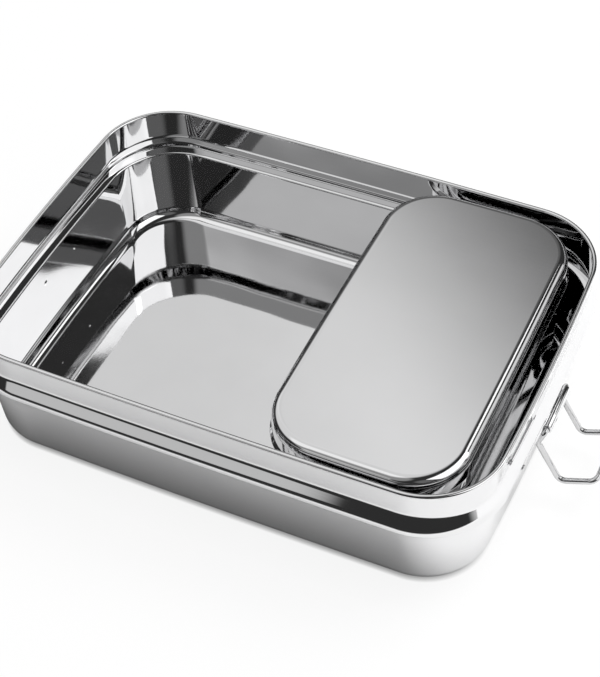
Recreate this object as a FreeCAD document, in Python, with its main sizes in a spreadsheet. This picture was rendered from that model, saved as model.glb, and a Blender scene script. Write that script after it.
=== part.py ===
"""Stainless steel lunch box: a drawn box with a lidded inner pod and two wire clips.

Millimetres, +Z up. The origin is the centre of the box's underside, +X runs along the
long side towards the pod, and +Y runs towards the rear long side.
"""
import FreeCAD, Part
import math
import os
import Sketcher

Vector = FreeCAD.Vector

# Driving dimensions: alias, value, and what it measures.
DIMENSIONS = [
    ("sheet", 0.6, "thickness of the drawn steel sheet"),
    ("box_height", 48.2, "underside to the top of the rim"),
    ("neck_length", 179.0, "box neck, outside, measured at its corners"),
    ("neck_width", 129.0, "box neck, outside, measured at its corners"),
    ("neck_corner", 24.8, "outside corner radius of the box neck"),
    ("end_bow", 2.1, "how far each short end bows out at its middle"),
    ("side_bow", 0.8, "how far each long side bows out at its middle"),
    ("rim_radius", 0.8, "radius of the rolled rim"),
    ("neck_depth", 11.1, "rim top to where the bead starts, measured at its unrounded corner"),
    ("neck_bend", 4.4, "outside bend radius where the bead starts"),
    ("shoulder_depth", 15.7, "rim top to the bead's shoulder, measured at its unrounded corner"),
    ("shoulder_reach", 2.35, "bead's shoulder beyond the neck, measured at its unrounded corner"),
    ("shoulder_bend", 5.5, "outside bend radius of the bead's shoulder"),
    ("bead_depth", 18.0, "rim top to the lower edge of the bead"),
    ("bead_reach", 2.5, "bead beyond the neck at its lower edge"),
    ("bead_bend", 0.8, "outside bend radius of the bead's lower edge"),
    ("bead_end", 19.3, "rim top to the top of the body wall"),
    ("crease_bend", 0.2, "outside bend radius between a bead and the body wall"),
    ("body_inset", 0.65, "top of the body wall inside the neck"),
    ("foot_inset", 2.85, "foot of the body wall inside the neck"),
    ("foot_round", 5.2, "outside radius between wall and floor"),
    ("pod_end_room", 9.0, "pod neck inside the end of the box neck, measured at the corners"),
    ("pod_side_room", 4.1, "pod neck inside each long side of the box neck, measured at the corners"),
    ("pod_width", 62.5, "pod neck, outside, along X, measured at its corners"),
    ("pod_corner", 18.7, "outside corner radius of the pod neck"),
    ("pod_bow", 0.5, "how far each pod side bows out at its middle"),
    ("pod_height", 43.4, "pod underside to its rim"),
    ("pod_neck_depth", 4.9, "pod rim to where its bead starts"),
    ("pod_neck_bend", 0.2, "outside bend radius where the pod's bead starts"),
    ("pod_shoulder_depth", 5.1, "pod rim to the shoulder of its bead"),
    ("pod_shoulder_reach", 0.5, "shoulder of the pod's bead beyond the pod neck"),
    ("pod_shoulder_bend", 0.9, "outside bend radius of that shoulder"),
    ("pod_bead_depth", 6.9, "pod rim to the edge of its bead"),
    ("pod_bead_reach", 2.2, "pod bead beyond the pod neck, measured at its unrounded edge"),
    ("pod_bead_bend", 1.0, "outside bend radius of the pod bead's edge"),
    ("pod_bead_end", 8.6, "pod rim to the top of its body wall"),
    ("pod_body_inset", 0.2, "top of the pod wall inside its neck"),
    ("pod_foot_inset", 1.2, "foot of the pod wall inside its neck"),
    ("pod_foot_round", 6.0, "outside radius between pod wall and floor"),
    ("lid_gap", 0.3, "clearance between the lid and the pod"),
    ("lid_round", 3.5, "outside radius between lid top and skirt"),
    ("lid_room", 0.1, "start of the lid's round above the pod rim"),
    ("wire", 2.0, "diameter of the clip wire"),
    ("hinge_out", 2.7, "clip hinge line beyond the end of the neck"),
    ("hinge_height", 27.5, "clip hinge line above the underside"),
    ("hinge_gap", 0.05, "running clearance of the wire in the curl"),
    ("strap", 0.7, "thickness of the bracket strap"),
    ("tongue_width", 18.6, "curled tongue, along the hinge"),
    ("plate_width", 24.0, "welded plate, along the hinge"),
    ("plate_foot", 17.0, "bottom of the welded plate above the underside"),
    ("plate_top", 24.4, "top of the welded plate above the underside"),
    ("weld_gap", 0.05, "bracket plate from the wall at the middle"),
    ("curl_open", 60.0, "how far below level the curl's free edge ends, in degrees"),
    ("loop_width", 22.0, "clip wire legs, centre to centre"),
    ("kink_in", 1.9, "wire kink inward of the hinge line"),
    ("kink_drop", 5.3, "wire kink below the hinge line"),
    ("knee_out", 6.7, "wire knee beyond the hinge line"),
    ("knee_drop", 20.7, "wire knee below the hinge line"),
    ("bar_out", 18.4, "wire cross bar beyond the hinge line"),
    ("bar_drop", 15.5, "wire cross bar below the hinge line"),
    ("wire_bend", 2.6, "bend radius of the wire at its middle line"),
    ("wire_turn", 1.5, "bend radius where the wire leaves the curl"),
    ("wire_ends", 1.0, "gap between the wire's two ends inside the curl"),
]
SHEET_NAME = "Sizes"
size = {alias: value for alias, value, meaning in DIMENSIONS}

document = FreeCAD.newDocument("lunch_box")


def make_sheet():
    """Write every driving dimension to the spreadsheet, with its alias and meaning."""
    sheet = document.addObject("Spreadsheet::Sheet", SHEET_NAME)
    for row, (alias, value, meaning) in enumerate(DIMENSIONS, start=1):
        sheet.set(f"A{row}", alias)
        sheet.set(f"B{row}", str(value))
        sheet.set(f"C{row}", meaning)
        sheet.setAlias(f"B{row}", alias)
    document.recompute()
    return sheet


class Formula:
    """A length worked out from the driving dimensions: its text for the sheet, and its value."""

    def __init__(self, text, value):
        self.text = text
        self.value = value

    def __add__(self, other):
        other = formula(other)
        return Formula(f"({self.text} + {other.text})", self.value + other.value)

    def __sub__(self, other):
        other = formula(other)
        return Formula(f"({self.text} - {other.text})", self.value - other.value)

    def __mul__(self, other):
        other = formula(other)
        return Formula(f"({self.text} * {other.text})", self.value * other.value)

    def __truediv__(self, other):
        other = formula(other)
        return Formula(f"({self.text} / {other.text})", self.value / other.value)

    def __neg__(self):
        return Formula(f"(0 - {self.text})", -self.value)


def formula(thing):
    """Turn an alias or a plain number into a Formula."""
    if isinstance(thing, Formula):
        return thing
    if isinstance(thing, str):
        return Formula(f"{SHEET_NAME}.{thing}", size[thing])
    return Formula(repr(thing), thing)


def origin_plane(body, role):
    """The body's own origin plane with this role."""
    return next(plane for plane in body.Origin.OriginFeatures if plane.Role == role)


def new_sketch(body, name, role):
    sketch = body.newObject("Sketcher::SketchObject", name)
    sketch.AttachmentSupport = [(origin_plane(body, role), "")]
    sketch.MapMode = "FlatFace"
    return sketch


def constrain(sketch, kind, *where, to=None):
    """Add a constraint and, where it has a size, bind that size to the sheet."""
    if to is None:
        sketch.addConstraint(Sketcher.Constraint(kind, *where))
        return
    index = sketch.addConstraint(Sketcher.Constraint(kind, *where, to.value))
    sketch.setExpression(f"Constraints[{index}]", to.text)


# Positions on an edge, and the ids of the sketch's own X axis and origin.
START, END, CENTRE = 1, 2, 3
X_AXIS = -1


def add_arc(sketch, centre, radius, first, last):
    circle = Part.Circle(Vector(centre[0], centre[1], 0), Vector(0, 0, 1), radius)
    return sketch.addGeometry(Part.ArcOfCircle(circle, first, last), False)


def place_point(sketch, edge, position, x, y):
    constrain(sketch, "DistanceX", edge, position, to=x)
    constrain(sketch, "DistanceY", edge, position, to=y)


def bowed_outline(sketch, outline, offset):
    """A rounded rectangle whose four sides bow out, drawn at an offset outside the outline.

    It is nine arcs, each tangent to the next: the right side comes in two halves, so that
    the outline starts and ends on the X axis.
    """
    centre_x = formula(outline["centre_x"])
    half_x = formula(outline["along_x"]) / 2
    half_y = formula(outline["along_y"]) / 2
    bow_x = formula(outline["bow_x"])
    bow_y = formula(outline["bow_y"])
    corner = formula(outline["corner"])
    # A side that bows by s over a half length c lies on a circle of radius (c*c + s*s) / 2s.
    end_radius = (half_y * half_y + bow_x * bow_x) / (bow_x * 2)
    side_radius = (half_x * half_x + bow_y * bow_y) / (bow_y * 2)
    end_centre = half_x + bow_x - end_radius
    side_centre = half_y + bow_y - side_radius
    # The corner's centre is (radius - corner) from both circles' centres.
    to_end = end_radius.value - corner.value
    to_side = side_radius.value - corner.value
    span = math.hypot(end_centre.value, side_centre.value)
    along = (to_end ** 2 - to_side ** 2 + span ** 2) / (2 * span)
    across = math.sqrt(to_end ** 2 - along ** 2)
    unit = (-end_centre.value / span, side_centre.value / span)
    corner_x = end_centre.value + along * unit[0] - across * unit[1]
    corner_y = along * unit[1] + across * unit[0]
    if corner_x < 0:
        corner_x = end_centre.value + along * unit[0] + across * unit[1]
        corner_y = along * unit[1] - across * unit[0]
    low = math.atan2(corner_y, corner_x - end_centre.value)
    high = math.atan2(corner_y - side_centre.value, corner_x)
    quarter = math.pi / 2
    turn = math.pi
    shift = centre_x.value
    grow = formula(offset)
    corner_size = corner + grow
    end_size = end_radius + grow
    side_size = side_radius + grow
    # Every side and corner in order round the outline: centre, radius, first and last angle.
    round_trip = [
        ((shift + end_centre.value, 0), end_size, 0, low),
        ((shift + corner_x, corner_y), corner_size, low, high),
        ((shift, side_centre.value), side_size, high, turn - high),
        ((shift - corner_x, corner_y), corner_size, turn - high, turn - low),
        ((shift - end_centre.value, 0), end_size, turn - low, turn + low),
        ((shift - corner_x, -corner_y), corner_size, turn + low, turn + high),
        ((shift, -side_centre.value), side_size, turn + high, 2 * turn - high),
        ((shift + corner_x, -corner_y), corner_size, -high, -low),
        ((shift + end_centre.value, 0), end_size, -low, 0),
    ]
    edges = []
    for centre, radius, first, last in round_trip:
        edges.append(add_arc(sketch, centre, radius.value, first, last))
    for before, after in zip(edges[:-1], edges[1:]):
        constrain(sketch, "Tangent", before, END, after, START)
    constrain(sketch, "PointOnObject", edges[0], START, X_AXIS)
    constrain(sketch, "PointOnObject", edges[-1], END, X_AXIS)
    zero = formula(0.0)
    for edge, side in ((0, 1), (4, -1), (8, 1)):
        place_point(sketch, edges[edge], CENTRE, centre_x + end_centre * side, zero)
    for edge, side in ((2, 1), (6, -1)):
        place_point(sketch, edges[edge], CENTRE, centre_x, side_centre * side)
    for edge, (centre, radius, first, last) in zip(edges, round_trip):
        constrain(sketch, "Radius", edge, to=radius)


def rounded_outline(sketch, corners):
    """A closed outline through corners (x, y, bend), with an arc of that bend at each corner.

    A bend of None leaves the corner sharp. Each corner is held by a point at its tip.
    """
    count = len(corners)
    tips = [Vector(x.value, y.value, 0) for x, y, bend in corners]
    leave = []
    arrive = []
    arcs = []
    for i, (x, y, bend) in enumerate(corners):
        back = (tips[i - 1] - tips[i]).normalize()
        ahead = (tips[(i + 1) % count] - tips[i]).normalize()
        if bend is None:
            arrive.append(tips[i])
            leave.append(tips[i])
            arcs.append(None)
            continue
        half = math.acos(max(-1.0, min(1.0, back.dot(ahead)))) / 2
        reach = bend.value / math.tan(half)
        arrive.append(tips[i] + back * reach)
        leave.append(tips[i] + ahead * reach)
        middle = (back + ahead).normalize() * (bend.value / math.sin(half))
        arcs.append(tips[i] + middle)
    lines = []
    for i in range(count):
        segment = Part.LineSegment(leave[i], arrive[(i + 1) % count])
        lines.append(sketch.addGeometry(segment, False))
    for i, (x, y, bend) in enumerate(corners):
        into = lines[i - 1]
        out = lines[i]
        if bend is None:
            constrain(sketch, "Coincident", into, END, out, START)
            place_point(sketch, out, START, x, y)
            continue
        first = arrive[i] - arcs[i]
        last = leave[i] - arcs[i]
        left_turn = first.cross(last).z > 0
        start_angle = math.atan2(first.y, first.x)
        end_angle = math.atan2(last.y, last.x)
        if not left_turn:
            start_angle, end_angle = end_angle, start_angle
        arc = add_arc(sketch, (arcs[i].x, arcs[i].y), bend.value, start_angle, end_angle)
        near, far = (START, END) if left_turn else (END, START)
        constrain(sketch, "Tangent", into, END, arc, near)
        constrain(sketch, "Tangent", arc, far, out, START)
        constrain(sketch, "Radius", arc, to=bend)
        tip = sketch.addGeometry(Part.Point(tips[i]), True)
        place_point(sketch, tip, START, x, y)
        constrain(sketch, "PointOnObject", tip, START, into)
        constrain(sketch, "PointOnObject", tip, START, out)


def drawn_vessel(label, outline, wall, floor_offset, floor_height):
    """A vessel drawn from sheet: its wall section swept round the outline, and a flat floor."""
    body = document.addObject("PartDesign::Body", label)
    path = new_sketch(body, f"{label}_path", "XY_Plane")
    bowed_outline(path, outline, 0.0)
    section = new_sketch(body, f"{label}_section", "XZ_Plane")
    edge_x = formula(outline["centre_x"]) + formula(outline["along_x"]) / 2 + outline["bow_x"]
    rounded_outline(section, [(edge_x + offset, height, bend) for offset, height, bend in wall])
    document.recompute()
    sweep = body.newObject("PartDesign::AdditivePipe", f"{label}_wall")
    sweep.Profile = section
    sweep.Spine = path
    sweep.Mode = "Frenet"
    document.recompute()
    plate = new_sketch(body, f"{label}_plate", "XY_Plane")
    bowed_outline(plate, outline, floor_offset)
    plate.setExpression("AttachmentOffset.Base.z", floor_height.text)
    document.recompute()
    floor = body.newObject("PartDesign::Pad", f"{label}_floor")
    floor.Profile = plate
    floor.setExpression("Length", f"{SHEET_NAME}.sheet")
    document.recompute()
    return body


def inner_corners(outside, sheet):
    """The inside corners of a bent sheet, one thickness behind the outside ones, in reverse order.

    The first and the last of the outside corners only show which way the sheet runs on.
    """
    inside = []
    for before, here, after in zip(outside, outside[1:], outside[2:]):
        faces = []
        for first, second in ((before, here), (here, after)):
            run = Vector(second[0].value - first[0].value, second[1].value - first[1].value, 0).normalize()
            faces.append(Vector(-run.y, run.x, 0))
        share = (faces[0] + faces[1]) / (1 + faces[0].dot(faces[1]))
        x, y, bend = here
        bulges_out = faces[0].cross(faces[1]).z < 0
        inner_bend = bend - sheet if bulges_out else bend + sheet
        inside.append((x - sheet * share.x, y - sheet * share.y, inner_bend))
    return inside[::-1]


def vessel_wall(base, height, rim, prefix):
    """The corners of a beaded vessel's wall section, out from the neck and up from the base.

    rim is a list of corners that closes the top, from the inside to the outside.
    """
    def own(name):
        return formula(f"{prefix}{name}")

    sheet = formula("sheet")
    top = base + height
    neck = formula(0.0)
    foot = -own("foot_inset")
    tongue = foot - own("foot_round") - sheet * 2
    outside = [
        (neck, top - own("neck_depth"), own("neck_bend")),
        (own("shoulder_reach"), top - own("shoulder_depth"), own("shoulder_bend")),
        (own("bead_reach"), top - own("bead_depth"), own("bead_bend")),
        (-own("body_inset"), top - own("bead_end"), formula("crease_bend")),
        (foot, base, own("foot_round")),
        (tongue, base, None),
    ]
    inside = [(tongue, base + sheet, None)] + inner_corners([(neck, top, None)] + outside, sheet)
    return outside + inside + rim, tongue + sheet


def make_box():
    """The open box: rolled rim, upright neck, swelling bead, tapering wall and flat floor."""
    sheet = formula("sheet")
    roll = formula("rim_radius")
    top = formula("box_height")
    rim_out = roll * 2 - sheet
    # Nearly a full roll: a flat this small is left between its quarter rounds.
    rim_round = roll * 0.95
    rim = [
        (-sheet, top, rim_round),
        (rim_out, top, rim_round),
        (rim_out, top - roll * 2, rim_round),
        (formula(0.0), top - roll * 2, None),
    ]
    outline = {
        "centre_x": 0.0,
        "along_x": "neck_length",
        "along_y": "neck_width",
        "bow_x": "end_bow",
        "bow_y": "side_bow",
        "corner": "neck_corner",
    }
    wall, floor_offset = vessel_wall(formula(0.0), top, rim, "")
    return drawn_vessel("box_shell", outline, wall, floor_offset, formula(0.0))


def pod_outline():
    """The pod's neck: it stands clear of the box's end and spans the box's width."""
    return {
        "centre_x": formula("neck_length") / 2 - "pod_end_room" - formula("pod_width") / 2,
        "along_x": "pod_width",
        "along_y": formula("neck_width") - formula("pod_side_room") * 2,
        "bow_x": "pod_bow",
        "bow_y": "pod_bow",
        "corner": "pod_corner",
    }


def make_pod():
    """The small inner vessel, standing on the box floor, with a plain rounded rim."""
    sheet = formula("sheet")
    top = sheet + "pod_height"
    edge_round = sheet * 0.4
    rim = [
        (-sheet, top, edge_round),
        (formula(0.0), top, edge_round),
    ]
    wall, floor_offset = vessel_wall(sheet, formula("pod_height"), rim, "pod_")
    return drawn_vessel("pod_body", pod_outline(), wall, floor_offset, sheet)


def make_lid():
    """The pod's lid: a flat top, a rounded edge and a skirt that ends just above the pod's bead."""
    sheet = formula("sheet")
    gap = formula("lid_gap")
    pod_rim = sheet + "pod_height"
    lid_top = pod_rim + "lid_round" + "lid_room"
    skirt_end = pod_rim - "pod_neck_depth" + gap
    outer = gap + sheet
    lid_round = formula("lid_round")
    edge_round = sheet * 0.4
    tongue = outer - lid_round - sheet * 2
    wall = [
        (outer, skirt_end, edge_round),
        (gap, skirt_end, edge_round),
        (gap, lid_top - sheet, lid_round - sheet),
        (tongue, lid_top - sheet, None),
        (tongue, lid_top, None),
        (outer, lid_top, lid_round),
    ]
    return drawn_vessel("pod_lid", pod_outline(), wall, tongue + sheet, lid_top - sheet)


def hinge_x():
    return formula("neck_length") / 2 + "end_bow" + "hinge_out"


def wall_x(height):
    """Outside of the box's end wall at this height, on the X axis."""
    wall_top = formula("box_height") - "bead_end"
    lean = (formula("foot_inset") - "body_inset") / wall_top
    return formula("neck_length") / 2 + "end_bow" - "body_inset" - (wall_top - height) * lean


def symmetric_pad(body, name, sketch, width):
    pad = body.newObject("PartDesign::Pad", name)
    pad.Profile = sketch
    pad.SideType = "Symmetric"
    pad.setExpression("Length", width.text)
    document.recompute()
    return pad


def make_bracket(label, turn):
    """A clip bracket: a plate welded to the end wall, whose tongue jogs out and curls round the wire."""
    body = document.addObject("PartDesign::Body", label)
    strap = formula("strap")
    inner = formula("wire") / 2 + "hinge_gap"
    outer = inner + strap
    x = hinge_x()
    z = formula("hinge_height")
    # The welded plate lies along the leaning wall.
    plate = new_sketch(body, f"{label}_plate_section", "XZ_Plane")
    foot = formula("plate_foot")
    top = formula("plate_top")
    rest = formula("weld_gap")
    rounded_outline(plate, [
        (wall_x(foot) + rest, foot, None),
        (wall_x(foot) + rest + strap, foot, strap * 0.5),
        (wall_x(top) + rest + strap, top, strap * 0.5),
        (wall_x(top) + rest, top, None),
    ])
    document.recompute()
    symmetric_pad(body, f"{label}_plate", plate, formula("plate_width"))
    # The tongue leaves the plate at 45 degrees and straightens up under the curl.
    tongue = new_sketch(body, f"{label}_tongue_section", "XZ_Plane")
    leave = top - strap * 2
    root = leave - strap * 2
    start_x = wall_x(leave) + rest + strap
    rise = x - inner - start_x
    # Both faces of a 45 degree bend keep the strap's thickness when their tips differ by this.
    lift = strap * math.tan(math.pi / 8)
    rounded_outline(tongue, [
        (wall_x(root) + rest, root, None),
        (wall_x(root) + rest + strap, root, None),
        (start_x, leave, strap * 0.5),
        (x - inner, leave + rise, strap),
        (x - inner, z, None),
        (x - outer, z, None),
        (x - outer, leave + rise + lift, strap * 0.5),
        (start_x - strap, leave + lift, strap),
    ])
    document.recompute()
    symmetric_pad(body, f"{label}_tongue", tongue, formula("tongue_width"))
    # The curl runs from the tongue over the top of the wire and ends below it, outside.
    curl = new_sketch(body, f"{label}_curl_section", "XZ_Plane")
    free_edge = -math.radians(size["curl_open"])
    arcs = [add_arc(curl, (x.value, z.value), radius.value, free_edge, math.pi) for radius in (inner, outer)]
    corners = []
    for angle in (free_edge, math.pi):
        corners.append([
            Vector(x.value + radius.value * math.cos(angle), z.value + radius.value * math.sin(angle), 0)
            for radius in (inner, outer)
        ])
    for position, (near, far) in zip((START, END), corners):
        cap = curl.addGeometry(Part.LineSegment(near, far), False)
        constrain(curl, "Coincident", cap, START, arcs[0], position)
        constrain(curl, "Coincident", cap, END, arcs[1], position)
    for arc, radius in zip(arcs, (inner, outer)):
        place_point(curl, arc, CENTRE, x, z)
        constrain(curl, "Radius", arc, to=radius)
        constrain(curl, "DistanceY", arc, END, to=z)
    for arc, radius in zip(arcs, (inner, outer)):
        drop = Formula(f"({z.text} - {radius.text} * sin({SHEET_NAME}.curl_open * 1 deg))",
                       z.value + radius.value * math.sin(free_edge))
        constrain(curl, "DistanceY", arc, START, to=drop)
    document.recompute()
    symmetric_pad(body, f"{label}_curl", curl, formula("tongue_width"))
    body.Placement = FreeCAD.Placement(Vector(0, 0, 0), turn)
    return body


def bent_path(points, bends):
    """A wire of straight runs through the points, with a tangent arc of the given bend at each turn."""
    edges = []
    here = points[0]
    for before, tip, after, bend in zip(points, points[1:], points[2:], bends):
        back = (before - tip).normalize()
        ahead = (after - tip).normalize()
        half = math.acos(back.dot(ahead)) / 2
        reach = bend / math.tan(half)
        centre = tip + (back + ahead).normalize() * (bend / math.sin(half))
        middle = centre + (tip - centre).normalize() * bend
        edges.append(Part.LineSegment(here, tip + back * reach).toShape())
        edges.append(Part.Arc(tip + back * reach, middle, tip + ahead * reach).toShape())
        here = tip + ahead * reach
    edges.append(Part.LineSegment(here, points[-1]).toShape())
    return Part.Wire(edges)


def make_wire(label, turn):
    """A clip wire: both ends meet inside the curl, and two kinked legs carry the cross bar."""
    x = hinge_x().value
    z = size["hinge_height"]
    side = size["loop_width"] / 2
    kink = (x - size["kink_in"], z - size["kink_drop"])
    knee = (x + size["knee_out"], z - size["knee_drop"])
    bar = (x + size["bar_out"], z - size["bar_drop"])
    profile = [(x, z), kink, knee, bar]
    leg = [Vector(px, side, pz) for px, pz in profile]
    far_leg = [Vector(px, -side, pz) for px, pz in reversed(profile)]
    end = size["wire_ends"] / 2
    points = [Vector(x, end, z)] + leg + far_leg + [Vector(x, -end, z)]
    turns = [size["wire_turn"]] + [size["wire_bend"]] * (len(points) - 4) + [size["wire_turn"]]
    path = bent_path(points, turns)
    section = Part.Wire(Part.makeCircle(size["wire"] / 2, points[0], Vector(0, 1, 0)))
    wire = document.addObject("Part::Feature", label)
    wire.Shape = path.makePipeShell([section], True, False)
    wire.Placement = FreeCAD.Placement(Vector(0, 0, 0), turn)
    length = path.Length
    expected = length * math.pi * size["wire"] ** 2 / 4
    print(f"{label}: wire {length:.2f} long, volume {wire.Shape.Volume:.2f} for {expected:.2f}")
    return wire


def check(pieces):
    """Stop if any object failed, or any piece has no valid solid."""
    for thing in document.Objects:
        bad = {"Invalid", "Error"} & set(thing.State)
        if bad:
            raise RuntimeError(f"{thing.Label} is {sorted(bad)}")
    for piece in pieces:
        shape = piece.Shape
        if shape.isNull() or not shape.isValid() or len(shape.Solids) != 1:
            raise RuntimeError(f"{piece.Label} has no single valid solid")


def main():
    make_sheet()
    as_drawn = FreeCAD.Rotation(Vector(0, 0, 1), 0)
    half_turn = FreeCAD.Rotation(Vector(0, 0, 1), 180)
    pieces = [make_box(), make_pod(), make_lid()]
    for side, turn in (("right", as_drawn), ("left", half_turn)):
        pieces.append(make_bracket(f"clip_bracket_{side}", turn))
        pieces.append(make_wire(f"clip_wire_{side}", turn))
    document.recompute()
    check(pieces)
    os.makedirs("parts", exist_ok=True)
    for piece in pieces:
        piece.Shape.exportStep(f"parts/{piece.Label}.step")
        box = piece.Shape.BoundBox
        print(f"{piece.Label}: {box.XLength:.2f} x {box.YLength:.2f} x {box.ZLength:.2f}")


main()
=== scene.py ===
"""The looks of the drawn-steel lunch box: fine sheet-metal meshes, polished steel and a plain studio."""
import math

import bpy
from mathutils import Matrix, Vector


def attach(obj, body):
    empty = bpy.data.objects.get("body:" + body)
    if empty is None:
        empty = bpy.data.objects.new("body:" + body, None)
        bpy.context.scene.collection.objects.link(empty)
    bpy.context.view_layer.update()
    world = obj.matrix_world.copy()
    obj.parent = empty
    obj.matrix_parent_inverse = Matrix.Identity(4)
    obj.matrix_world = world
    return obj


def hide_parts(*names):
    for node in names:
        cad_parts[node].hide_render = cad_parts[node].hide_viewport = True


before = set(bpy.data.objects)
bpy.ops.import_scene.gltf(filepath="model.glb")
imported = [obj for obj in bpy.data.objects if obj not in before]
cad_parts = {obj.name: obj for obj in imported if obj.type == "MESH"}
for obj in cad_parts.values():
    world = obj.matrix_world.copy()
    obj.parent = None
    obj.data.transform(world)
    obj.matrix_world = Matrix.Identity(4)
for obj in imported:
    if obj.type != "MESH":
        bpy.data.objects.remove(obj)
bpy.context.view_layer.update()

MM = 0.001

# The sizes of the part, in millimetres, as in the solids.
SHEET = 0.6
BOX = {
    "centre_x": 0.0,
    "along_x": 179.0,
    "along_y": 129.0,
    "bow_x": 2.1,
    "bow_y": 0.8,
    "corner": 24.8,
    "base": 0.0,
    "height": 48.2,
    "neck_depth": 11.1,
    "neck_bend": 4.4,
    "shoulder_depth": 15.7,
    "shoulder_reach": 2.35,
    "shoulder_bend": 5.5,
    "bead_depth": 18.0,
    "bead_reach": 2.5,
    "bead_bend": 0.8,
    "bead_end": 19.3,
    "body_inset": 0.65,
    "foot_inset": 2.85,
    "foot_round": 5.2,
}
POD_END_ROOM = 9.0
POD_SIDE_ROOM = 4.1
POD_WIDTH = 62.5
POD = {
    "centre_x": BOX["along_x"] / 2 - POD_END_ROOM - POD_WIDTH / 2,
    "along_x": POD_WIDTH,
    "along_y": BOX["along_y"] - 2 * POD_SIDE_ROOM,
    "bow_x": 0.5,
    "bow_y": 0.5,
    "corner": 18.7,
    "base": SHEET,
    "height": 43.4,
    "neck_depth": 4.9,
    "neck_bend": 0.2,
    "shoulder_depth": 5.1,
    "shoulder_reach": 0.5,
    "shoulder_bend": 0.9,
    "bead_depth": 6.9,
    "bead_reach": 2.2,
    "bead_bend": 1.0,
    "bead_end": 8.6,
    "body_inset": 0.2,
    "foot_inset": 1.2,
    "foot_round": 6.0,
}
CREASE_BEND = 0.2
RIM_RADIUS = 0.8
RIM_ROUND = 0.95 * RIM_RADIUS
EDGE_ROUND = 0.4 * SHEET
LID_GAP = 0.3
LID_ROUND = 3.5
LID_ROOM = 0.1
WIRE = 2.0
HINGE_REACH = 2.7
HINGE_X = BOX["along_x"] / 2 + BOX["bow_x"] + HINGE_REACH
HINGE_Z = 27.5
HINGE_GAP = 0.05
STRAP = 0.7
TONGUE_HALF = 9.3
PLATE_HALF = 12.0
PLATE_FOOT = 17.0
PLATE_TOP = 24.4
WELD_GAP = 0.05
CURL_OPEN = math.radians(60)
LOOP_HALF = 11.0
WIRE_ENDS = 1.0
# The clip wire's kink, knee and cross bar, out from the hinge line and up from it.
WIRE_TURNS = [(-1.9, -5.3), (6.7, -20.7), (18.4, -15.5)]
WIRE_BEND = 2.6
WIRE_TURN = 1.5

# Small rounds, in millimetres, that the scene adds to the shapes of the solids.
RIM_CREASE = 0.12
PLATE_CORNER = 2.0
TONGUE_STEP_ROUND = 1.0
STRAP_EDGE_ROUND = 0.22
WIRE_END_ROUND = 0.3

# How finely round stretches are cut: the angle of one step, or the number of steps.
OUTLINE_STEP = math.radians(2.5)
SIDE_STEPS = 40
SECTION_STEP = math.radians(4)
WIRE_STEP = math.radians(9)
WIRE_SIDES = 28
WIRE_END_STEPS = 4
PLATE_STEPS = 48
CURL_STEPS = 40
STRAP_EDGE_STEPS = 3


def smooth_mesh(name, points, normals, faces):
    """A smooth mesh from points in millimetres, with the shape's exact normals where they are given."""
    mesh = bpy.data.meshes.new(name)
    mesh.from_pydata([Vector(p) * MM for p in points], [], faces)
    mesh.validate()
    mesh.polygons.foreach_set("use_smooth", [True] * len(mesh.polygons))
    if normals:
        mesh.normals_split_custom_set_from_vertices(normals)
    thing = bpy.data.objects.new(name, mesh)
    bpy.context.scene.collection.objects.link(thing)
    return thing


def bowed_outline(form):
    """Points and outward normals round a rounded rectangle whose sides bow out a little."""
    half_x = form["along_x"] / 2
    half_y = form["along_y"] / 2
    corner = form["corner"]
    end_radius = (half_y ** 2 + form["bow_x"] ** 2) / (2 * form["bow_x"])
    side_radius = (half_x ** 2 + form["bow_y"] ** 2) / (2 * form["bow_y"])
    end_centre = half_x + form["bow_x"] - end_radius
    side_centre = half_y + form["bow_y"] - side_radius
    # The corner's centre, (radius - corner) from the centres of the two sides' circles.
    to_end = end_radius - corner
    to_side = side_radius - corner
    span = math.hypot(end_centre, side_centre)
    along = (to_end ** 2 - to_side ** 2 + span ** 2) / (2 * span)
    across = math.sqrt(to_end ** 2 - along ** 2)
    unit = (-end_centre / span, side_centre / span)
    candidates = []
    for sign in (1, -1):
        candidates.append((
            end_centre + along * unit[0] - sign * across * unit[1],
            along * unit[1] + sign * across * unit[0],
        ))
    corner_x, corner_y = max(candidates)
    low = math.atan2(corner_y, corner_x - end_centre)
    high = math.atan2(corner_y - side_centre, corner_x)
    corner_steps = math.ceil((high - low) / OUTLINE_STEP)
    half_circle = math.pi
    arcs = [
        (end_centre, 0, end_radius, -low, low, SIDE_STEPS),
        (corner_x, corner_y, corner, low, high, corner_steps),
        (0, side_centre, side_radius, high, half_circle - high, SIDE_STEPS),
        (-corner_x, corner_y, corner, half_circle - high, half_circle - low, corner_steps),
        (-end_centre, 0, end_radius, half_circle - low, half_circle + low, SIDE_STEPS),
        (-corner_x, -corner_y, corner, half_circle + low, half_circle + high, corner_steps),
        (0, -side_centre, side_radius, half_circle + high, 2 * half_circle - high, SIDE_STEPS),
        (corner_x, -corner_y, corner, -high, -low, corner_steps),
    ]
    ring = []
    for centre_x, centre_y, radius, first, last, steps in arcs:
        for step in range(steps):
            angle = first + (last - first) * step / steps
            normal = (math.cos(angle), math.sin(angle))
            x = form["centre_x"] + centre_x + radius * normal[0]
            ring.append((x, centre_y + radius * normal[1], normal[0], normal[1]))
    return ring


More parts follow.
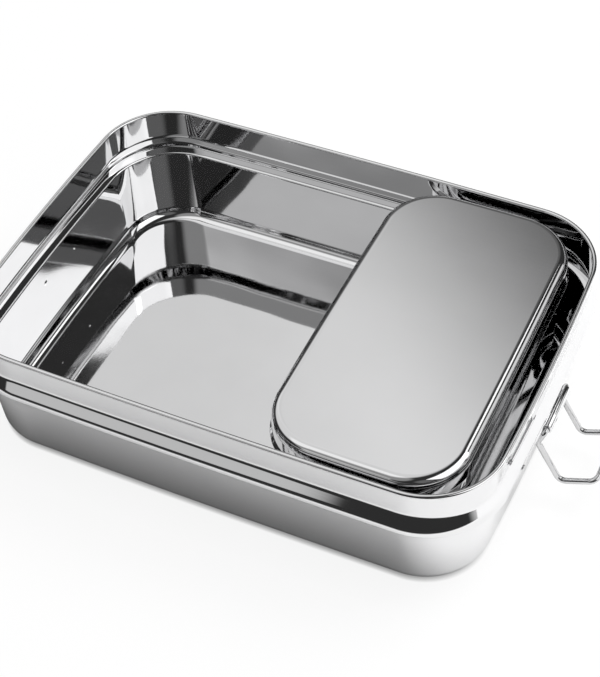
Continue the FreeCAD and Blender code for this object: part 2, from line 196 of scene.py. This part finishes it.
def rounded_path(corners):
    """Points and right-hand normals along an open path through (x, y, bend) corners, bends as arcs."""
    tips = [Vector((x, y)) for x, y, bend in corners]
    path = []
    for i, (x, y, bend) in enumerate(corners):
        if i in (0, len(corners) - 1):
            along = (tips[1] - tips[0] if i == 0 else tips[-1] - tips[-2]).normalized()
            path.append((x, y, along.y, -along.x))
            continue
        back = (tips[i - 1] - tips[i]).normalized()
        ahead = (tips[i + 1] - tips[i]).normalized()
        half = back.angle(ahead) / 2
        centre = tips[i] + (back + ahead).normalized() * (bend / math.sin(half))
        first = tips[i] + back * (bend / math.tan(half)) - centre
        left_turn = back.x * ahead.y - back.y * ahead.x < 0
        sweep = (math.pi - 2 * half) * (1 if left_turn else -1)
        steps = max(2, math.ceil(abs(sweep) / SECTION_STEP))
        for k in range(steps + 1):
            arm = Matrix.Rotation(sweep * k / steps, 2) @ first
            normal = arm.normalized() * (1 if left_turn else -1)
            path.append((centre.x + arm.x, centre.y + arm.y, normal.x, normal.y))
    return path


def pressed_sheet(name, form, section):
    """A piece pressed from one sheet: an open section swept round the outline, both ends capped flat."""
    ring = bowed_outline(form)
    points = []
    normals = []
    for x, y, normal_x, normal_y in ring:
        for offset, height, out, up in section:
            points.append((x + normal_x * offset, y + normal_y * offset, height))
            normals.append((normal_x * out, normal_y * out, up))
    count = len(section)
    total = len(ring)
    faces = []
    for i in range(total):
        after = (i + 1) % total
        for j in range(count - 1):
            faces.append((i * count + j, after * count + j, after * count + j + 1, i * count + j + 1))
    faces.append([i * count for i in reversed(range(total))])
    faces.append([i * count + count - 1 for i in range(total)])
    return smooth_mesh(name, points, normals, faces)


def inner_corners(outside):
    """The inside corners of a bent sheet, one thickness behind the outside ones, in reverse order.

    The first and the last of the outside corners only show which way the sheet runs on.
    """
    inside = []
    for before, (x, y, bend), after in zip(outside, outside[1:], outside[2:]):
        into = Vector((x - before[0], y - before[1])).normalized()
        onward = Vector((after[0] - x, after[1] - y)).normalized()
        share = (into + onward) / (1 + into.dot(onward))
        bulges_out = into.x * onward.y - into.y * onward.x > 0
        inner_bend = bend - SHEET if bulges_out else bend + SHEET
        inside.append((x - SHEET * share.y, y + SHEET * share.x, inner_bend))
    return inside[::-1]


def vessel_section(form, rim):
    """A beaded vessel's wall from its underside, up the outside, over the rim and down to its floor."""
    base = form["base"]
    top = base + form["height"]
    foot = -form["foot_inset"]
    floor_edge = foot - form["foot_round"] - SHEET
    outside = [
        (floor_edge, base, None),
        (foot, base, form["foot_round"]),
        (-form["body_inset"], top - form["bead_end"], CREASE_BEND),
        (form["bead_reach"], top - form["bead_depth"], form["bead_bend"]),
        (form["shoulder_reach"], top - form["shoulder_depth"], form["shoulder_bend"]),
        (0.0, top - form["neck_depth"], form["neck_bend"]),
    ]
    inside = inner_corners(outside + [(0.0, top, None)]) + [(floor_edge, base + SHEET, None)]
    return rounded_path(outside + rim(top) + inside)


def rolled_rim(top):
    """The box's rim: the sheet's edge rolled outwards to a round bead."""
    rim_out = 2 * RIM_RADIUS - SHEET
    rim_foot = top - 2 * RIM_RADIUS
    return [
        (0.0, rim_foot, RIM_CREASE),
        (rim_out, rim_foot, RIM_ROUND),
        (rim_out, top, RIM_ROUND),
        (-SHEET, top, RIM_ROUND),
    ]


def plain_rim(top):
    """The pod's rim: the sheet's cut edge, slightly rounded."""
    return [(0.0, top, EDGE_ROUND), (-SHEET, top, EDGE_ROUND)]


def lid_section():
    """The pod's lid from its top's underside, down the skirt's inside and up its outside to the top."""
    pod_rim = POD["base"] + POD["height"]
    top = pod_rim + LID_ROUND + LID_ROOM
    skirt_end = pod_rim - POD["neck_depth"] + LID_GAP
    outer = LID_GAP + SHEET
    flat_edge = outer - LID_ROUND - SHEET
    return rounded_path([
        (flat_edge, top - SHEET, None),
        (LID_GAP, top - SHEET, LID_ROUND - SHEET),
        (LID_GAP, skirt_end, EDGE_ROUND),
        (outer, skirt_end, EDGE_ROUND),
        (outer, top, LID_ROUND),
        (flat_edge, top, None),
    ])


def bent_line(points, bends):
    """Points along straight runs through the given points, with an arc of the given bend at each turn."""
    line = [Vector(points[0])]
    for before, tip, after, bend in zip(points, points[1:], points[2:], bends):
        tip = Vector(tip)
        back = (Vector(before) - tip).normalized()
        ahead = (Vector(after) - tip).normalized()
        half = back.angle(ahead) / 2
        centre = tip + (back + ahead).normalized() * (bend / math.sin(half))
        first = tip + back * (bend / math.tan(half)) - centre
        axis = back.cross(ahead).normalized()
        sweep = -(math.pi - 2 * half)
        steps = max(2, math.ceil(abs(sweep) / WIRE_STEP))
        for k in range(steps + 1):
            line.append(centre + Matrix.Rotation(sweep * k / steps, 3, axis) @ first)
    line.append(Vector(points[-1]))
    return line


def tube(name, line, radius):
    """A round wire along the line, its two cut ends slightly rounded."""
    count = len(line)
    tangents = []
    for i in range(count):
        before = line[max(i - 1, 0)]
        after = line[min(i + 1, count - 1)]
        tangents.append((after - before).normalized())
    across = tangents[0].orthogonal().normalized()
    points = []
    normals = []
    rings = []

    def add_ring(centre, side, other, size, lean, along):
        rings.append(len(points))
        for k in range(WIRE_SIDES):
            angle = 2 * math.pi * k / WIRE_SIDES
            out = side * math.cos(angle) + other * math.sin(angle)
            points.append(centre + out * size)
            normals.append((out * math.cos(lean) + along * math.sin(lean)).normalized())

    def add_end(i, inward, leans):
        for lean in leans:
            shift = WIRE_END_ROUND * (1 - math.sin(lean))
            size = radius - WIRE_END_ROUND * (1 - math.cos(lean))
            add_ring(line[i] + inward * shift, *frames[i], size, lean, -inward)

    frames = []
    for i in range(count):
        across = (across - tangents[i] * across.dot(tangents[i])).normalized()
        frames.append((across.copy(), tangents[i].cross(across)))
    leans = [math.pi / 2 * k / WIRE_END_STEPS for k in range(WIRE_END_STEPS + 1)]
    add_end(0, tangents[0], leans[::-1])
    for i in range(1, count - 1):
        add_ring(line[i], *frames[i], radius, 0.0, tangents[i])
    add_end(-1, -tangents[-1], leans)
    faces = []
    for first, second in zip(rings, rings[1:]):
        for k in range(WIRE_SIDES):
            after = (k + 1) % WIRE_SIDES
            faces.append((first + k, first + after, second + after, second + k))
    faces.append(list(reversed(range(WIRE_SIDES))))
    faces.append([rings[-1] + k for k in range(WIRE_SIDES)])
    return smooth_mesh(name, points, normals, faces)


def wall_x(height):
    """Outside of the box's right end wall at this height, at its middle."""
    wall_top = BOX["height"] - BOX["bead_end"]
    lean = (BOX["foot_inset"] - BOX["body_inset"]) / wall_top
    return BOX["along_x"] / 2 + BOX["bow_x"] - BOX["body_inset"] - (wall_top - height) * lean


def arc_reach(radius, away):
    """How far a round corner of this radius still reaches at this distance from its centre line."""
    return math.sqrt(max(0.0, radius ** 2 - away ** 2))


def strap_width(height, leave):
    """Half the strap's width at this height: a plate with round corners, stepping in to the tongue."""
    low_corner = PLATE_FOOT + PLATE_CORNER
    high_corner = leave - PLATE_CORNER
    step_top = leave + TONGUE_STEP_ROUND
    if height < low_corner:
        return PLATE_HALF - PLATE_CORNER + arc_reach(PLATE_CORNER, low_corner - height)
    if height < high_corner:
        return PLATE_HALF
    if height < leave:
        return PLATE_HALF - PLATE_CORNER + arc_reach(PLATE_CORNER, height - high_corner)
    if height < step_top:
        return TONGUE_HALF + TONGUE_STEP_ROUND - arc_reach(TONGUE_STEP_ROUND, step_top - height)
    return TONGUE_HALF


def strap_loop(half_width):
    """The strap's cross-section with rounded edges: points across and through the sheet."""
    loop = []
    for corner_across, corner_through, start in ((1, 1, 0), (-1, 1, 90), (-1, -1, 180), (1, -1, 270)):
        for k in range(STRAP_EDGE_STEPS + 1):
            angle = math.radians(start + 90 * k / STRAP_EDGE_STEPS)
            loop.append((
                corner_across * (half_width - STRAP_EDGE_ROUND) + STRAP_EDGE_ROUND * math.cos(angle),
                corner_through * (STRAP / 2 - STRAP_EDGE_ROUND) + STRAP_EDGE_ROUND * math.sin(angle),
            ))
    return loop


def bracket(name):
    """The clip bracket as one strap: plate along the wall, tongue jogging out, curl round the wire."""
    curl = WIRE / 2 + HINGE_GAP + STRAP / 2
    # The height at which the tongue leaves the plate, and where this plate ends, a little below the solid's.
    leave = PLATE_TOP - 2 * STRAP

    def plate_x(height):
        return wall_x(height) + WELD_GAP + STRAP / 2

    tongue_x = HINGE_X - curl
    jog_top = leave + tongue_x - plate_x(leave)
    line = []
    for k in range(PLATE_STEPS + 1):
        height = PLATE_FOOT + (leave - PLATE_FOOT) * k / PLATE_STEPS
        line.append((plate_x(height), height))
    path = rounded_path([
        (line[-2][0], line[-2][1], None),
        (plate_x(leave), leave, STRAP),
        (tongue_x, jog_top, STRAP),
        (tongue_x, HINGE_Z, None),
    ])
    line = line[:-2] + [(x, z) for x, z, out, up in path[1:-1]]
    for k in range(CURL_STEPS + 1):
        angle = math.pi - (math.pi + CURL_OPEN) * k / CURL_STEPS
        line.append((HINGE_X + curl * math.cos(angle), HINGE_Z + curl * math.sin(angle)))
    points = []
    last = len(line) - 1
    for i, (x, z) in enumerate(line):
        before = Vector(line[max(i - 1, 0)])
        after = Vector(line[min(i + 1, last)])
        along = (after - before).normalized()
        out = Vector((along.y, -along.x))
        half_width = strap_width(z, leave) if x < tongue_x else TONGUE_HALF
        for across, through in strap_loop(half_width):
            points.append((x + out.x * through, across, z + out.y * through))
    size = len(points) // len(line)
    faces = []
    for i in range(last):
        for k in range(size):
            after = (k + 1) % size
            faces.append((i * size + k, (i + 1) * size + k, (i + 1) * size + after, i * size + after))
    faces.append(list(range(size)))
    faces.append([last * size + k for k in reversed(range(size))])
    return smooth_mesh(name, points, None, faces)


def clip_wire(name):
    """The clip wire: its ends face each other inside the curl, and two kinked legs carry the cross bar."""
    profile = [(HINGE_X, HINGE_Z)]
    profile += [(HINGE_X + out, HINGE_Z + up) for out, up in WIRE_TURNS]
    end = WIRE_ENDS / 2
    points = [(HINGE_X, end, HINGE_Z)]
    points += [(x, LOOP_HALF, z) for x, z in profile]
    points += [(x, -LOOP_HALF, z) for x, z in reversed(profile)]
    points += [(HINGE_X, -end, HINGE_Z)]
    bends = [WIRE_TURN] + [WIRE_BEND] * (2 * len(WIRE_TURNS)) + [WIRE_TURN]
    return tube(name, bent_line(points, bends), WIRE / 2)


def at_end(side, thing):
    """Leaves a right-hand piece in its place, or turns its mesh round the box's middle to the left end."""
    if side == "left":
        thing.data.transform(Matrix.Rotation(math.pi, 4, "Z"))
    return thing


class Nodes:
    """Short calls for building a node tree."""

    def __init__(self, tree):
        self.tree = tree
        self.tree.nodes.clear()

    def add(self, kind, **settings):
        """A new node; each setting names one of its inputs or else one of its properties."""
        node = self.tree.nodes.new(kind)
        for name, value in settings.items():
            if name in node.inputs.keys() and not hasattr(node, name):
                node.inputs[name].default_value = value
            else:
                setattr(node, name, value)
        return node

    def join(self, source, target):
        self.tree.links.new(source, target)


# The steel's colours, and its spot welds in millimetres.
STEEL = (0.80, 0.80, 0.805)
WIRE_STEEL = (0.62, 0.62, 0.625)
WELD_HEIGHT = 21.5
WELD_ASIDE = 10.0
WELD_RADIUS = 1.2
WELD_DEPTH = 0.08
# The finish: how fine its marks are, for each metre, and how much detail they have.
WAVE_SCALE = 26.0
WAVE_DETAIL = 1.0
SMUDGE_SCALE = 55.0
SMUDGE_DETAIL = 5.0
HAIRLINE_SCALE = 90.0
HAIRLINE_DETAIL = 3.0
HAIRLINE_STRETCH = (1.0, 26.0, 9.0)
HAIRLINE_STRENGTH = 0.25
HAIRLINE_DEPTH = 0.004
# How far the marks change the colour and the roughness.
DULL_TINT = 0.96
BRIGHT_TINT = 1.03
HAIRLINE_SHARE = 0.5
MARKS_RANGE = (0.45, 1.05)
ROUGHNESS_RANGE = (0.7, 1.5)
# How far each piece's marks are moved for one step of its seed, so that no two pieces are alike.
SEED_SHIFT = (0.37, 0.61, 0.13)
# Where a Map Range node of vectors has its own To Min and To Max among its inputs.
VECTOR_TO_MIN = 9
VECTOR_TO_MAX = 10


def spot_marks(nodes, place, centre, radius):
    """Round marks at this place and at its mirror images on the other side and the other end of the box."""
    mirror = nodes.add("ShaderNodeVectorMath", operation="ABSOLUTE")
    nodes.join(place.outputs["Object"], mirror.inputs[0])
    away = nodes.add("ShaderNodeVectorMath", operation="DISTANCE")
    nodes.join(mirror.outputs["Vector"], away.inputs[0])
    away.inputs[1].default_value = Vector(centre) * MM
    mark = nodes.add("ShaderNodeMapRange", interpolation_type="SMOOTHSTEP")
    mark.inputs["From Min"].default_value = radius * MM
    mark.inputs["From Max"].default_value = 0.0
    nodes.join(away.outputs["Value"], mark.inputs["Value"])
    return mark.outputs["Result"]


def polished_steel(name, tint, gloss, wave, seed, weld=None):
    """Mirror-polished stainless sheet: faint waves from the press, fine polishing lines and smudges.

    gloss is the middle roughness, and wave the depth of the waves in millimetres. weld is the place of
    a spot weld, whose small dents show on both sides of the sheet.
    """
    material = bpy.data.materials.new(name)
    material.use_nodes = True
    nodes = Nodes(material.node_tree)
    output = nodes.add("ShaderNodeOutputMaterial")
    steel = nodes.add("ShaderNodeBsdfPrincipled")
    steel.inputs["Metallic"].default_value = 1.0
    nodes.join(steel.outputs["BSDF"], output.inputs["Surface"])
    place = nodes.add("ShaderNodeTexCoord")
    shift = nodes.add("ShaderNodeMapping")
    shift.inputs["Location"].default_value = tuple(seed * move for move in SEED_SHIFT)
    nodes.join(place.outputs["Object"], shift.inputs["Vector"])

    def noise(scale, detail, stretch=None):
        texture = nodes.add("ShaderNodeTexNoise")
        texture.inputs["Scale"].default_value = scale
        texture.inputs["Detail"].default_value = detail
        source = shift.outputs["Vector"]
        if stretch:
            pull = nodes.add("ShaderNodeMapping")
            pull.inputs["Scale"].default_value = stretch
            nodes.join(source, pull.inputs["Vector"])
            source = pull.outputs["Vector"]
        nodes.join(source, texture.inputs["Vector"])
        return texture.outputs["Fac"]

    smudge = noise(SMUDGE_SCALE, SMUDGE_DETAIL)
    hairline = noise(HAIRLINE_SCALE, HAIRLINE_DETAIL, HAIRLINE_STRETCH)
    colour = nodes.add("ShaderNodeMapRange", data_type="FLOAT_VECTOR")
    colour.inputs[VECTOR_TO_MIN].default_value = tuple(DULL_TINT * channel for channel in tint)
    colour.inputs[VECTOR_TO_MAX].default_value = tuple(min(1.0, BRIGHT_TINT * channel) for channel in tint)
    spread = nodes.add("ShaderNodeCombineXYZ")
    for axis in "XYZ":
        nodes.join(smudge, spread.inputs[axis])
    nodes.join(spread.outputs["Vector"], colour.inputs["Vector"])
    nodes.join(colour.outputs["Vector"], steel.inputs["Base Color"])
    blend = nodes.add("ShaderNodeMath", operation="MULTIPLY_ADD")
    nodes.join(hairline, blend.inputs[0])
    blend.inputs[1].default_value = HAIRLINE_SHARE
    nodes.join(smudge, blend.inputs[2])
    rough = nodes.add("ShaderNodeMapRange")
    rough.inputs["From Min"].default_value = MARKS_RANGE[0]
    rough.inputs["From Max"].default_value = MARKS_RANGE[1]
    rough.inputs["To Min"].default_value = gloss * ROUGHNESS_RANGE[0]
    rough.inputs["To Max"].default_value = gloss * ROUGHNESS_RANGE[1]
    nodes.join(blend.outputs["Value"], rough.inputs["Value"])
    nodes.join(rough.outputs["Result"], steel.inputs["Roughness"])
    waves = nodes.add("ShaderNodeBump")
    waves.inputs["Strength"].default_value = 1.0
    waves.inputs["Distance"].default_value = wave * MM
    nodes.join(noise(WAVE_SCALE, WAVE_DETAIL), waves.inputs["Height"])
    lines = nodes.add("ShaderNodeBump")
    lines.inputs["Strength"].default_value = HAIRLINE_STRENGTH
    lines.inputs["Distance"].default_value = HAIRLINE_DEPTH * MM
    nodes.join(hairline, lines.inputs["Height"])
    nodes.join(waves.outputs["Normal"], lines.inputs["Normal"])
    normal = lines.outputs["Normal"]
    if weld:
        dents = nodes.add("ShaderNodeBump")
        dents.inputs["Strength"].default_value = 1.0
        dents.inputs["Distance"].default_value = WELD_DEPTH * MM
        nodes.join(spot_marks(nodes, place, weld, WELD_RADIUS), dents.inputs["Height"])
        nodes.join(normal, dents.inputs["Normal"])
        normal = dents.outputs["Normal"]
    nodes.join(normal, steel.inputs["Normal"])
    return material


def dress(thing, node, body, material):
    """Gives a mesh its material and puts it in the place of the solid's node, on its moving body."""
    thing.data.materials.append(material)
    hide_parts(node)
    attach(thing, body)


weld_place = (wall_x(WELD_HEIGHT) - SHEET / 2, WELD_ASIDE, WELD_HEIGHT)
sheet_steel = polished_steel("box_polished_steel", STEEL, gloss=0.035, wave=0.22, seed=1, weld=weld_place)
pod_steel = polished_steel("pod_polished_steel", STEEL, gloss=0.04, wave=0.06, seed=2)
lid_steel = polished_steel("lid_polished_steel", STEEL, gloss=0.06, wave=0.04, seed=3)
strip_steel = polished_steel("bracket_strip_steel", STEEL, gloss=0.10, wave=0.02, seed=4)
wire_steel = polished_steel("clip_wire_steel", WIRE_STEEL, gloss=0.16, wave=0.01, seed=5)

dress(pressed_sheet("box_shell_sheet", BOX, vessel_section(BOX, rolled_rim)),
      "box_shell", "box", sheet_steel)
dress(pressed_sheet("pod_body_sheet", POD, vessel_section(POD, plain_rim)),
      "pod_body", "pod", pod_steel)
dress(pressed_sheet("pod_lid_sheet", POD, lid_section()),
      "pod_lid", "lid", lid_steel)
for side in ("right", "left"):
    dress(at_end(side, bracket(f"clip_bracket_{side}_strap")),
          f"clip_bracket_{side}", "box", strip_steel)
    dress(at_end(side, clip_wire(f"clip_wire_{side}_loop")),
          f"clip_wire_{side}", f"{side}_clip", wire_steel)


# The camera, found by fitting the rim, bead and base outlines to the photograph. Lengths are in
# millimetres, apart from the focal length and the photograph's height in pixels.
VIEW_AZIMUTH = math.radians(27.146)
VIEW_ELEVATION = math.radians(46.946)
VIEW_ROLL = math.radians(-3.075)
VIEW_DISTANCE = 593.45
VIEW_TARGET = Vector((-8.92, 25.77, -8.48))
FOCAL_PIXELS = 1632.9
PHOTO_HEIGHT = 677
SENSOR = 36.0
NEAREST_SEEN = 10.0


def make_camera():
    """The camera at the photograph's angle, turned round its own axis by the roll."""
    back = Vector((
        math.sin(VIEW_AZIMUTH) * math.cos(VIEW_ELEVATION),
        -math.cos(VIEW_AZIMUTH) * math.cos(VIEW_ELEVATION),
        math.sin(VIEW_ELEVATION),
    ))
    level = Vector((0, 0, 1)).cross(back).normalized()
    upright = back.cross(level)
    right = level * math.cos(VIEW_ROLL) + upright * math.sin(VIEW_ROLL)
    up = upright * math.cos(VIEW_ROLL) - level * math.sin(VIEW_ROLL)
    data = bpy.data.cameras.new("camera")
    data.sensor_fit = "VERTICAL"
    data.sensor_height = SENSOR
    data.lens = FOCAL_PIXELS * SENSOR / PHOTO_HEIGHT
    data.clip_start = NEAREST_SEEN * MM
    camera = bpy.data.objects.new("camera", data)
    bpy.context.scene.collection.objects.link(camera)
    pose = Matrix((right, up, back)).transposed().to_4x4()
    pose.translation = (VIEW_TARGET + back * VIEW_DISTANCE) * MM
    camera.matrix_world = pose
    bpy.context.scene.camera = camera


# The studio, in metres: the floor's size, its paper's shade, and its share of plain white for the camera.
FLOOR_SIZE = 8.0
FLOOR_SHADE = 0.95
FLOOR_WHITE = 0.90
# How many rays feel for the shadow at each point of the floor.
SHADE_SAMPLES = 12
# How far from the box the floor's soft shadow and its close contact shadow reach, in metres: both are
# painted shadows, darkening the paper's colour and the camera's white by the occlusion near the box.
SHADE_REACH = 0.014
CONTACT_REACH = 0.002
# These painted shadows lie towards the front and the left, away from the key lamp.
SHADOW_LEAN = (0.55, 0.35, 0.76)
# Where the white paper starts to end in front of the box, and over how much it fades, in metres.
PAPER_FRONT = -0.112
PAPER_FADE = 0.022
# The strength of the even light, of the white that the camera sees, and of the dark room in the mirrors.
EVEN_LIGHT = 0.52
WHITE = 1.0
STUDIO_DARK = 0.04
# The round panels that the steel mirrors: azimuth, elevation, how far out each is full and gone, all in
# degrees, and its strength. The one below nought darkens a patch of the first.
PANELS = [
    (-78, 57, 32.2, 42.7, 0.92),
    (-42, 46, 5, 15, -0.15),
    (-30, 35, 20, 36, 0.12),
    (-157, 30, 4, 12, 0.45),
    (-150, 56, 22, 30, 0.33),
    (90, 10, 15, 25, 0.9),
    (50, 16, 10, 14, 0.95),
    (135, 38, 8, 18, 0.14),
    (-153, 4, 11.8, 14.2, 0.70),
]


def make_floor():
    """A table with white paper: nearly plain white for the camera, dimmer where the box stands, partly from
    the lamps' shadows and partly from a painted shadow in its colour.

    The steel mirrors the paper, and beyond the paper's front edge it mirrors the world instead.
    """
    bpy.ops.mesh.primitive_plane_add(size=FLOOR_SIZE, location=(0, 0, 0))
    floor = bpy.context.object
    floor.name = "floor"
    material = bpy.data.materials.new("floor_paper")
    material.use_nodes = True
    nodes = Nodes(material.node_tree)
    output = nodes.add("ShaderNodeOutputMaterial")
    paper = nodes.add("ShaderNodeBsdfDiffuse")
    glow = nodes.add("ShaderNodeEmission")
    lean = nodes.add("ShaderNodeCombineXYZ")
    for axis, value in zip("XYZ", SHADOW_LEAN):
        lean.inputs[axis].default_value = value
    # The occlusion darkens the paper's colour and the camera's white near the box: a painted shadow, not one
    # cast by the lamps.
    for shader, shade, reach in ((paper, FLOOR_SHADE, SHADE_REACH), (glow, WHITE, CONTACT_REACH)):
        painted_shadow = nodes.add("ShaderNodeAmbientOcclusion", samples=SHADE_SAMPLES)
        painted_shadow.inputs["Color"].default_value = (shade, shade, shade, 1)
        painted_shadow.inputs["Distance"].default_value = reach
        nodes.join(lean.outputs["Vector"], painted_shadow.inputs["Normal"])
        nodes.join(painted_shadow.outputs["Color"], shader.inputs["Color"])
    path = nodes.add("ShaderNodeLightPath")
    place = nodes.add("ShaderNodeTexCoord")
    split = nodes.add("ShaderNodeSeparateXYZ")
    nodes.join(place.outputs["Object"], split.inputs["Vector"])
    beyond = nodes.add("ShaderNodeMapRange", interpolation_type="SMOOTHSTEP")
    beyond.inputs["From Min"].default_value = PAPER_FRONT
    beyond.inputs["From Max"].default_value = PAPER_FRONT - PAPER_FADE
    nodes.join(split.outputs["Y"], beyond.inputs["Value"])
    mirrored = nodes.add("ShaderNodeMath", operation="MULTIPLY")
    nodes.join(path.outputs["Is Glossy Ray"], mirrored.inputs[0])
    nodes.join(beyond.outputs["Result"], mirrored.inputs[1])
    room = nodes.add("ShaderNodeBsdfTransparent")
    table = nodes.add("ShaderNodeMixShader")
    nodes.join(mirrored.outputs["Value"], table.inputs["Fac"])
    nodes.join(paper.outputs["BSDF"], table.inputs[1])
    nodes.join(room.outputs["BSDF"], table.inputs[2])
    seen = nodes.add("ShaderNodeMath", operation="MULTIPLY")
    nodes.join(path.outputs["Is Camera Ray"], seen.inputs[0])
    seen.inputs[1].default_value = FLOOR_WHITE
    mix = nodes.add("ShaderNodeMixShader")
    nodes.join(seen.outputs["Value"], mix.inputs["Fac"])
    nodes.join(table.outputs["Shader"], mix.inputs[1])
    nodes.join(glow.outputs["Emission"], mix.inputs[2])
    nodes.join(mix.outputs["Shader"], output.inputs["Surface"])
    floor.data.materials.append(material)


def toward(azimuth, elevation):
    """A direction in the studio: degrees round from the rear towards the right, and degrees up."""
    around = math.radians(azimuth)
    up = math.radians(elevation)
    return Vector((math.sin(around) * math.cos(up), math.cos(around) * math.cos(up), math.sin(up)))


def make_world():
    """An even light, plain white for the camera, and a dark room with panels for the steel to mirror."""
    world = bpy.data.worlds.new("studio")
    bpy.context.scene.world = world
    world.use_nodes = True
    nodes = Nodes(world.node_tree)
    output = nodes.add("ShaderNodeOutputWorld")
    place = nodes.add("ShaderNodeTexCoord")
    total = None
    for azimuth, elevation, full, gone, strength in PANELS:
        dot = nodes.add("ShaderNodeVectorMath", operation="DOT_PRODUCT")
        nodes.join(place.outputs["Generated"], dot.inputs[0])
        dot.inputs[1].default_value = toward(azimuth, elevation)
        soft = nodes.add("ShaderNodeMapRange", interpolation_type="SMOOTHSTEP")
        soft.inputs["From Min"].default_value = math.cos(math.radians(gone))
        soft.inputs["From Max"].default_value = math.cos(math.radians(full))
        soft.inputs["To Max"].default_value = strength
        nodes.join(dot.outputs["Value"], soft.inputs["Value"])
        plus = nodes.add("ShaderNodeMath", operation="ADD")
        plus.inputs[0].default_value = STUDIO_DARK
        if total:
            nodes.join(total, plus.inputs[0])
        nodes.join(soft.outputs["Result"], plus.inputs[1])
        total = plus.outputs["Value"]
    path = nodes.add("ShaderNodeLightPath")
    even = nodes.add("ShaderNodeBackground", Strength=EVEN_LIGHT)
    studio = nodes.add("ShaderNodeBackground")
    nodes.join(total, studio.inputs["Strength"])
    white = nodes.add("ShaderNodeBackground", Strength=WHITE)
    mirrored = nodes.add("ShaderNodeMixShader")
    nodes.join(path.outputs["Is Glossy Ray"], mirrored.inputs["Fac"])
    nodes.join(even.outputs["Background"], mirrored.inputs[1])
    nodes.join(studio.outputs["Background"], mirrored.inputs[2])
    seen = nodes.add("ShaderNodeMixShader")
    nodes.join(path.outputs["Is Camera Ray"], seen.inputs["Fac"])
    nodes.join(mirrored.outputs["Shader"], seen.inputs[1])
    nodes.join(white.outputs["Background"], seen.inputs[2])
    nodes.join(seen.outputs["Shader"], output.inputs["Surface"])


def softbox(name, azimuth, elevation, distance, size, brightness):
    """A rectangular lamp that faces the box, its surface this many times as bright as white."""
    data = bpy.data.lights.new(name, "AREA")
    data.shape = "RECTANGLE"
    data.size = size[0]
    data.size_y = size[1]
    data.energy = brightness * math.pi * size[0] * size[1]
    lamp = bpy.data.objects.new(name, data)
    bpy.context.scene.collection.objects.link(lamp)
    lamp.location = toward(azimuth, elevation) * distance
    lamp.rotation_euler = toward(azimuth, elevation).to_track_quat("Z", "Y").to_euler()
    lamp.visible_camera = False
    return lamp


make_camera()
make_floor()
make_world()
key = softbox("key", azimuth=42, elevation=53, distance=1.5, size=(0.8, 0.8), brightness=8.2)
key.visible_glossy = False
softbox("rear_right_panel", azimuth=41, elevation=44, distance=1.4, size=(0.50, 0.26), brightness=1.35)
softbox("right_window", azimuth=85, elevation=42, distance=1.5, size=(1.6, 1.0), brightness=1.3)

bpy.context.scene.view_settings.view_transform = "Standard"
